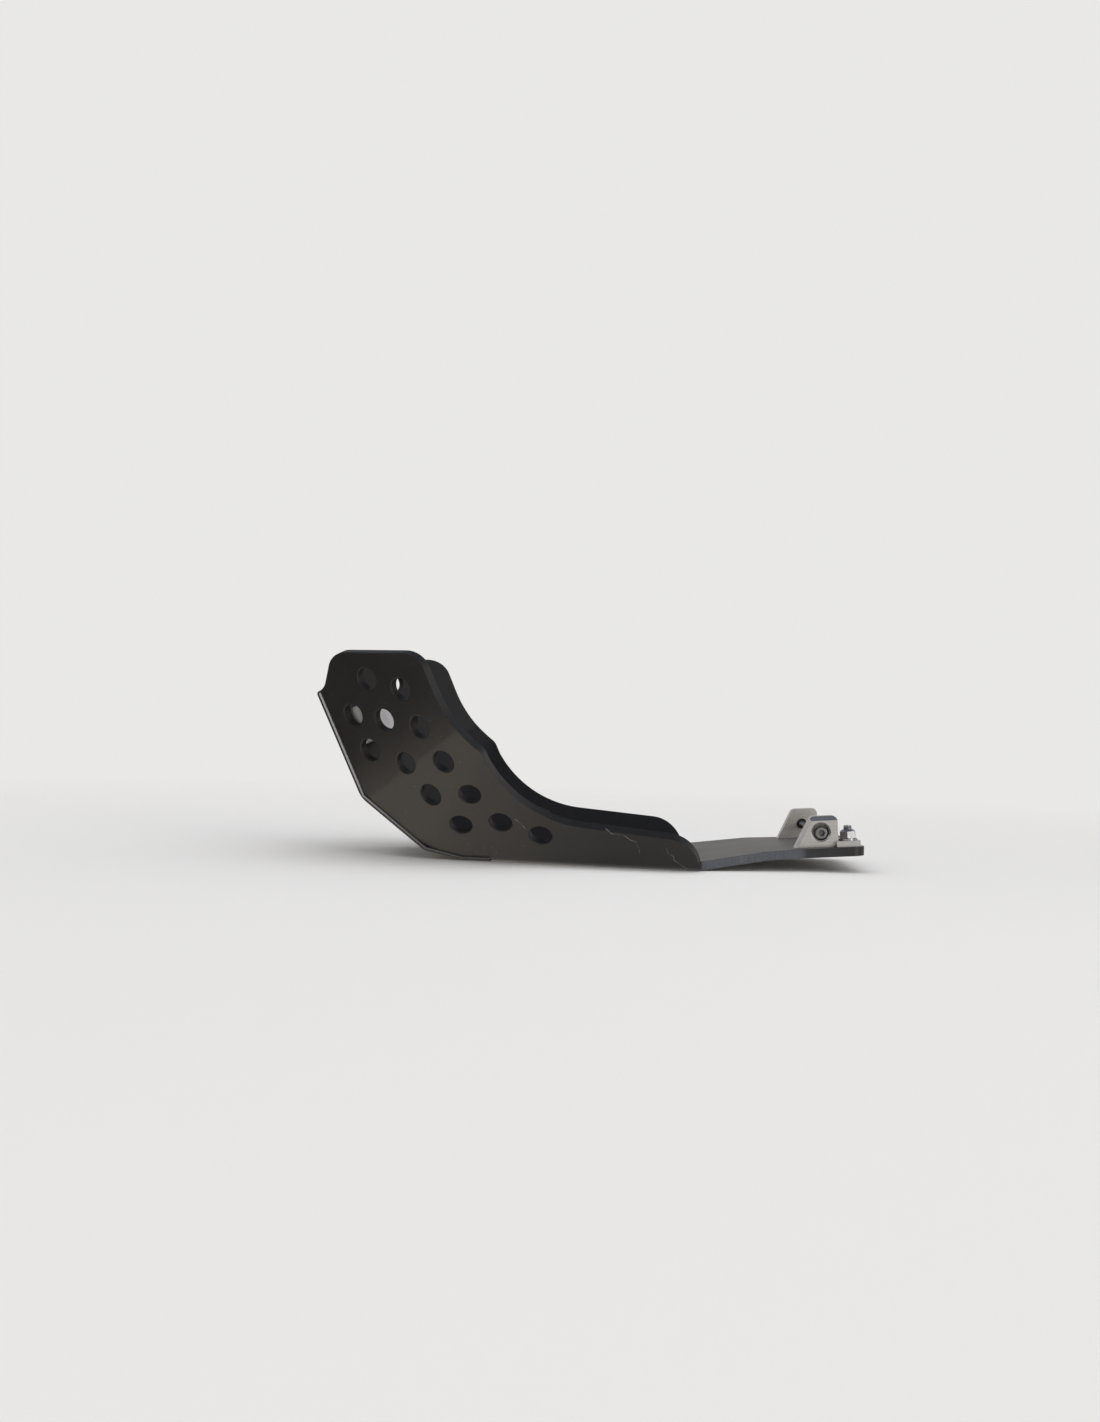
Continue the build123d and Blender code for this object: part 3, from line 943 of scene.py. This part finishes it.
@dataclass
class SkidPlate:
    """The folded sheet, with the slopes (degrees) and creases (millimetres) of its wings and front strips."""

    node: str = "skid_plate"
    thickness: float = 6.0 * MM
    flare: float = math.radians(40.0)
    wing_leans: tuple[float, ...] = (13.0, 45.0, 58.0)
    wing_corners: tuple[Place, ...] = ((-108.567, -56.2, 5.556), (-148.394, -50.702, 36.116))
    wing_radii: tuple[float, ...] = (55 * MM, 25 * MM)
    strip_slopes: tuple[float, ...] = (0.0, 13.0, 37.5, 65.8)
    strip_corners: tuple[Place, ...] = ((-84.5, 0.0, 0.0), (-108.567, 0.0, 5.556), (-151.963, 0.0, 38.855))
    strip_radii: tuple[float, ...] = (165 * MM, 20 * MM, 20 * MM)
    finish: SheetFinish = SheetFinish()

    def _shade_facets(self, graph: Graph, mesh: Socket) -> Socket:
        """Shade the facets of the wings, and of the floor with the front strips.

        Args:
            graph: the modifier's graph.
            mesh: the mesh to shade.

        Returns:
            The shaded mesh.
        """
        outlines = (
            (self.flare, self.wing_leans, self.wing_corners, self.wing_radii),
            (math.pi / 2, self.strip_slopes, self.strip_corners, self.strip_radii),
        )
        for flare, slopes, corners, radii in outlines:
            reach = math.sin(flare)
            leans = [math.radians(slope) for slope in slopes]
            normals = [Vector((-reach * math.sin(a), -math.cos(flare), -reach * math.cos(a))) for a in leans]
            spots = [Vector(corner) * MM for corner in corners]
            mesh = FacetChain(tuple(normals), tuple(spots), radii).smooth(graph, mesh)
        return mesh

    def dress(self, effects: EffectLibrary) -> None:
        """Shade bends and facets, mark the sawn edges and give the sheet its finish.

        Args:
            effects: the shared effects.
        """
        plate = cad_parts[self.node]
        surface = SolidSurface(sheet=self.thickness)
        surface.dress(plate, mesh_group("sheet_surface", surface.shade))
        plate.modifiers.new("facets", "NODES").node_group = mesh_group("sheet_facets", self._shade_facets)
        coat(plate, self.finish.material(effects))
        LOG.info("%s dressed in %s", self.node, self.finish.name)


class MetalShop:
    """What all metal pieces share: their shading, and one material for each finish."""

    def __init__(self, effects: EffectLibrary) -> None:
        """Set up the shading.

        Args:
            effects: the shared effects.
        """
        self.effects = effects
        self.surface = SolidSurface()
        self.group = mesh_group("metal_surface", self.surface.shade)
        self.materials: dict[MetalFinish, bpy.types.Material] = {}

    def dress(self, solid: bpy.types.Object, finish: MetalFinish) -> None:
        """Shade a solid and give it a finish.

        Args:
            solid: the object.
            finish: its finish.
        """
        if finish not in self.materials:
            self.materials[finish] = finish.material(self.effects)
        self.surface.dress(solid, self.group)
        coat(solid, self.materials[finish])
        LOG.info("%s dressed in %s", solid.name, finish.name)


@dataclass
class MetalParts:
    """Carriers and plain fasteners that keep their solids."""

    finishes: tuple[tuple[str, MetalFinish], ...] = (
        ("rear_bracket", MACHINED),
        ("front_clamp", SAWN_BAR),
        ("rear_washer", ZINC),
        ("rear_lock_nut", ZINC),
        ("front_clamp_washer", ZINC),
        ("front_clamp_nut", ZINC),
    )

    def dress(self, shop: MetalShop) -> None:
        """Shade and finish each solid on both sides.

        Args:
            shop: what all metal pieces share.
        """
        for name, finish in self.finishes:
            for side in Side:
                shop.dress(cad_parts[f"{name}_{side.suffix}"], finish)


@dataclass(frozen=True)
class ThreadSize:
    """A kind of screw or bolt: its slot, its finish and its thread."""

    slot: str
    finish: MetalFinish
    radius: float
    pitch: float
    length: float
    depth_share: float = 0.61
    tip_chamfer: float = 0.6 * MM


@dataclass
class ThreadedFastener:
    """A screw or bolt whose plain shank gets a rolled thread."""

    node: str
    size: ThreadSize
    axis: Vector
    centre: Vector
    steps: int = 40
    weld_share: float = 0.005
    overlap_share: float = 0.25
    profile: tuple[tuple[float, bool], ...] = (
        (0.0, False), (0.125, False), (0.44, True), (0.56, True), (0.875, False)
    )

    def _tip(self, solid: bpy.types.Object) -> float:
        """Distance of the shank's tip from the centre, along the axis."""
        return max((vertex.co - self.centre).dot(self.axis) for vertex in solid.data.vertices)

    def _thread(self) -> bmesh.types.BMesh:
        """Threaded rod along Z, from 0 to the thread's length.

        Returns:
            A closed mesh of the rod.
        """
        rod = bmesh.new()
        upwards = Vector(UPWARDS)
        size = self.size
        root = size.radius - size.depth_share * size.pitch
        turns = math.ceil(size.length / size.pitch) + 1
        points = [(turn + share, crest) for turn in range(-1, turns) for share, crest in self.profile]
        corners = [
            rod.verts.new((size.radius if crest else root, 0.0, rise * size.pitch)) for rise, crest in points
        ]
        line = [rod.edges.new(pair) for pair in zip(corners, corners[1:])]
        bmesh.ops.spin(
            rod,
            geom=[*corners, *line],
            cent=ORIGIN,
            axis=UPWARDS,
            dvec=upwards * (size.pitch / self.steps),
            angle=math.tau,
            steps=self.steps,
            use_merge=False,
        )
        bmesh.ops.remove_doubles(rod, verts=rod.verts, dist=size.pitch * self.weld_share)
        cut_and_cap(rod, Vector(ORIGIN), upwards, keep_front=True)
        cut_and_cap(rod, upwards * size.length, upwards, keep_front=False)
        for vertex in rod.verts:
            limit = size.radius - max(0.0, vertex.co.z - size.length + size.tip_chamfer)
            reach = vertex.co.xy.length
            if reach > limit:
                vertex.co.xy *= limit / reach
        bmesh.ops.recalc_face_normals(rod, faces=rod.faces)
        return rod

    def build(self) -> bpy.types.Object:
        """Replace the fastener's solid by one with a thread.

        Returns:
            The new piece.
        """
        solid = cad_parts[self.node]
        length = self.size.length
        start = self.centre + self.axis * (self._tip(solid) - length)
        body = bmesh.new()
        body.from_mesh(solid.data)
        bmesh.ops.remove_doubles(body, verts=body.verts, dist=WELD)
        overlap = self.axis * (self.size.pitch * self.overlap_share)
        cut_and_cap(body, start + overlap, self.axis, keep_front=False)
        rod = self._thread()
        turn = Vector(UPWARDS).rotation_difference(self.axis).to_matrix().to_4x4()
        bmesh.ops.transform(rod, matrix=Matrix.Translation(start) @ turn, verts=rod.verts)
        thread = bpy.data.meshes.new(f"{self.node}.rod")
        rod.to_mesh(thread)
        rod.free()
        body.from_mesh(thread)
        bpy.data.meshes.remove(thread)
        mesh = bpy.data.meshes.new(f"{self.node}.threaded")
        body.to_mesh(mesh)
        body.free()
        piece = put_in_scene(mesh)
        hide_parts(self.node)
        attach(piece, BODY)
        LOG.info("%s threaded over %.1f mm", self.node, length / MM)
        return piece


@dataclass
class Fasteners:
    """All bolts and screws, placed from the washers and heads of the solids."""

    tail_slope: float = math.radians(4.2)
    nose_slope: float = math.radians(65.8)
    bolt: ThreadSize = ThreadSize("fastener", ZINC, radius=3.0 * MM, pitch=1.0 * MM, length=6.0 * MM)
    screw: ThreadSize = ThreadSize("screw", PLAIN_STEEL, radius=2.5 * MM, pitch=0.8 * MM, length=16.0 * MM)

    def build(self, shop: MetalShop) -> None:
        """Thread, shade and finish every bolt and screw.

        Args:
            shop: what all metal pieces share.
        """
        up = Vector((-math.sin(self.tail_slope), 0.0, math.cos(self.tail_slope)))
        inward = Vector((math.sin(self.nose_slope), 0.0, math.cos(self.nose_slope)))
        for side in Side:
            across = Vector((0.0, -side.value, 0.0))
            places = (
                ("rear_plate_bolt", "rear_washer", up, self.bolt),
                ("front_clamp_bolt", "front_clamp_washer", inward, self.bolt),
                ("frame_screw", "frame_screw", across, self.screw),
            )
            for name, guide, axis, size in places:
                low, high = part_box(f"{guide}_{side.suffix}")
                fastener = ThreadedFastener(f"{name}_{side.suffix}", size, axis, (low + high) / 2)
                shop.dress(fastener.build(), size.finish)


@dataclass(frozen=True)
class Lamp:
    """A soft round lamp that points at the object."""

    name: str
    place: Place
    size: float
    power: float
    colour: Colour
    mirrored: bool


@dataclass
class Studio:
    """Pale floor with a coved rim, an even sky and soft lamps."""

    floor_radius: float = 2.6
    cove_radius: float = 0.9
    wall_height: float = 1.6
    cove_segments: int = 16
    floor_steps: int = 96
    floor_drop: float = 0.05 * MM
    paint: Colour = (0.84, 0.83, 0.815)
    paint_shade: float = 0.97
    paint_detail: float = 2.0
    paint_roughness: float = 0.85
    floor_glint: Colour = (0.98, 0.875, 0.75)
    rear_glint: Colour = (0.42, 0.41, 0.40)
    dark_card: Colour = (0.13, 0.12, 0.12)
    dark_wall: Colour = (0.06, 0.06, 0.065)
    pale_wall: Colour = (0.86, 0.82, 0.78)
    upper_wall: Colour = (0.50, 0.50, 0.52)
    backdrop: Colour = (0.815, 0.810, 0.800)
    backdrop_from: Span = (0.3, 1.2)
    card_edge: Span = (-0.270, -0.195)
    rear_edge: Span = (-0.120, 0.010)
    wall_run: Span = (-1.5, 1.7)
    wall_rise: Span = (0.02, 0.30)
    upper_rise: Span = (0.5, 1.1)
    sky: Colour = (0.96, 0.97, 1.0)
    sky_strength: float = 0.84
    low_sky: Colour = (0.44, 0.45, 0.48)
    high_sky: Colour = (0.12, 0.13, 0.16)
    overhead: Span = (0.50, 0.90)
    target: Place = (0.0, 0.0, 0.06)
    lamps: tuple[Lamp, ...] = (
        Lamp("key", (1.30, -1.50, 0.42), 1.0, 9.0, (1.0, 0.985, 0.96), True),
        Lamp("top", (-0.3, 0.2, 2.1), 2.4, 8.0, (1.0, 0.99, 0.98), False),
    )

    def _mirrored(self, sheet: MaterialSheet) -> Socket:
        """What metal and gloss see: a pale floor and walls with dark cards at the front end.

        Args:
            sheet: the material being written.

        Returns:
            The emission's socket.
        """
        graph = sheet.graph
        along = graph.axis(sheet.where, "X")
        rise = graph.axis(sheet.where, "Z")
        shown = graph.mix(graph.remap(along, *self.card_edge), self.dark_card, self.floor_glint)
        shown = graph.mix(graph.remap(along, *self.rear_edge), shown, self.rear_glint)
        wall = graph.mix(graph.remap(along, *self.wall_run), self.dark_wall, self.pale_wall)
        wall = graph.mix(graph.remap(rise, *self.upper_rise), wall, self.upper_wall)
        shown = graph.mix(graph.remap(rise, *self.wall_rise), shown, wall)
        return graph.add("ShaderNodeEmission", {"Color": shown, "Strength": 1.0}).outputs["Emission"]

    def _paint(self) -> bpy.types.Material:
        """Matt paint that keeps the shadow, with an even backdrop behind it and its own look in mirrors.

        Returns:
            The paint.
        """
        sheet = MaterialSheet("studio_paint")
        graph = sheet.graph
        darker = tuple(self.paint_shade * part for part in self.paint)
        cloud = graph.noise(sheet.where, self.paint_detail)
        sheet.set("Base Color", graph.mix(cloud, darker, self.paint))
        sheet.set("Roughness", self.paint_roughness)
        sheet.set("Specular IOR Level", 0.0)
        path = graph.add("ShaderNodeLightPath")
        distance = graph.measure("LENGTH", sheet.where)
        far = graph.times(graph.remap(distance, *self.backdrop_from), path.outputs["Is Camera Ray"])
        even = graph.add("ShaderNodeEmission", {"Color": self.backdrop, "Strength": 1.0})
        plain = {0: far, 1: sheet.shader.outputs["BSDF"], 2: even.outputs["Emission"]}
        seen = graph.add("ShaderNodeMixShader", plain).outputs["Shader"]
        glossy = {0: path.outputs["Is Glossy Ray"], 1: seen, 2: self._mirrored(sheet)}
        both = graph.add("ShaderNodeMixShader", glossy)
        output = sheet.material.node_tree.nodes["Material Output"]
        graph.feed(output.inputs["Surface"], both.outputs["Shader"])
        return sheet.material

    def _floor(self) -> None:
        """Lay the round floor that curves up into a wall."""
        bowl = bmesh.new()
        rim = self.floor_radius
        profile = (ORIGIN, (rim, 0.0, 0.0), (rim, 0.0, self.wall_height))
        corners = [bowl.verts.new(spot) for spot in profile]
        for pair in zip(corners, corners[1:]):
            bowl.edges.new(pair)
        bmesh.ops.bevel(
            bowl,
            geom=[corners[1]],
            offset=self.cove_radius,
            offset_type="OFFSET",
            segments=self.cove_segments,
            profile=0.5,
            affect="VERTICES",
            material=-1,
        )
        bmesh.ops.spin(
            bowl,
            geom=[*bowl.verts, *bowl.edges],
            cent=ORIGIN,
            axis=UPWARDS,
            angle=math.tau,
            steps=self.floor_steps,
            use_merge=True,
        )
        bmesh.ops.remove_doubles(bowl, verts=bowl.verts, dist=MM)
        bmesh.ops.recalc_face_normals(bowl, faces=bowl.faces)
        bmesh.ops.reverse_faces(bowl, faces=bowl.faces)
        bmesh.ops.translate(bowl, vec=(0.0, 0.0, -self.floor_drop), verts=bowl.verts)
        for face in bowl.faces:
            face.smooth = True
        mesh = bpy.data.meshes.new("studio_floor")
        bowl.to_mesh(mesh)
        bowl.free()
        floor = put_in_scene(mesh)
        coat(floor, self._paint())

    def _light(self) -> None:
        """Hang the lamps and set the sky."""
        for lamp in self.lamps:
            bulb = bpy.data.lights.new(f"{lamp.name}_lamp", "AREA")
            bulb.shape = "DISK"
            bulb.size = lamp.size
            bulb.energy = lamp.power
            bulb.color = lamp.colour
            holder = put_in_scene(bulb)
            holder.location = lamp.place
            holder.visible_glossy = lamp.mirrored
            sight = Vector(self.target) - Vector(lamp.place)
            holder.rotation_euler = sight.to_track_quat("-Z", "Y").to_euler()
        world = bpy.data.worlds.new("studio_sky")
        world.use_nodes = True
        graph = Graph(world.node_tree)
        sky = world.node_tree.nodes["Background"]
        graph.feed(sky.inputs["Color"], self.sky)
        graph.feed(sky.inputs["Strength"], self.sky_strength)
        rise = graph.axis(graph.add("ShaderNodeTexCoord").outputs["Generated"], "Z")
        shade = graph.mix(graph.remap(rise, *self.overhead), self.low_sky, self.high_sky)
        dim = graph.add("ShaderNodeBackground", {"Color": shade, "Strength": 1.0})
        seen = graph.add("ShaderNodeLightPath").outputs["Is Glossy Ray"]
        both = graph.add("ShaderNodeMixShader", {0: seen, 1: sky.outputs[0], 2: dim.outputs[0]})
        graph.feed(world.node_tree.nodes["World Output"].inputs["Surface"], both.outputs["Shader"])
        bpy.context.scene.world = world

    def build(self) -> None:
        """Set up floor, lamps and plain view settings."""
        self._floor()
        self._light()
        bpy.context.scene.view_settings.view_transform = "Standard"
        LOG.info("studio set")


@dataclass
class PhotoCamera:
    """Camera at the photograph's viewing angle."""

    location: Place = (-0.0286, -1.275, 0.10019)
    roll: float = math.radians(1.87)
    focal_pixels: float = 1846.0
    image_height: float = 1422.0
    sensor: float = 36.0

    def build(self) -> None:
        """Place the camera."""
        data = bpy.data.cameras.new("photo_camera")
        data.sensor_width = self.sensor
        data.lens = self.focal_pixels * self.sensor / self.image_height
        camera = put_in_scene(data)
        right = Vector((math.cos(self.roll), 0.0, math.sin(self.roll)))
        upward = Vector((-math.sin(self.roll), 0.0, math.cos(self.roll)))
        turn = Matrix((right, upward, right.cross(upward))).transposed().to_4x4()
        camera.matrix_world = Matrix.Translation(self.location) @ turn
        bpy.context.scene.camera = camera


def main() -> None:
    """Build the looks in order."""
    logging.basicConfig(level=logging.INFO, format="%(message)s")
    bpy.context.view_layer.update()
    effects = EffectLibrary()
    PhotoCamera().build()
    Studio().build()
    SkidPlate().dress(effects)
    shop = MetalShop(effects)
    MetalParts().dress(shop)
    Fasteners().build(shop)


if __name__ == "__main__":
    main()
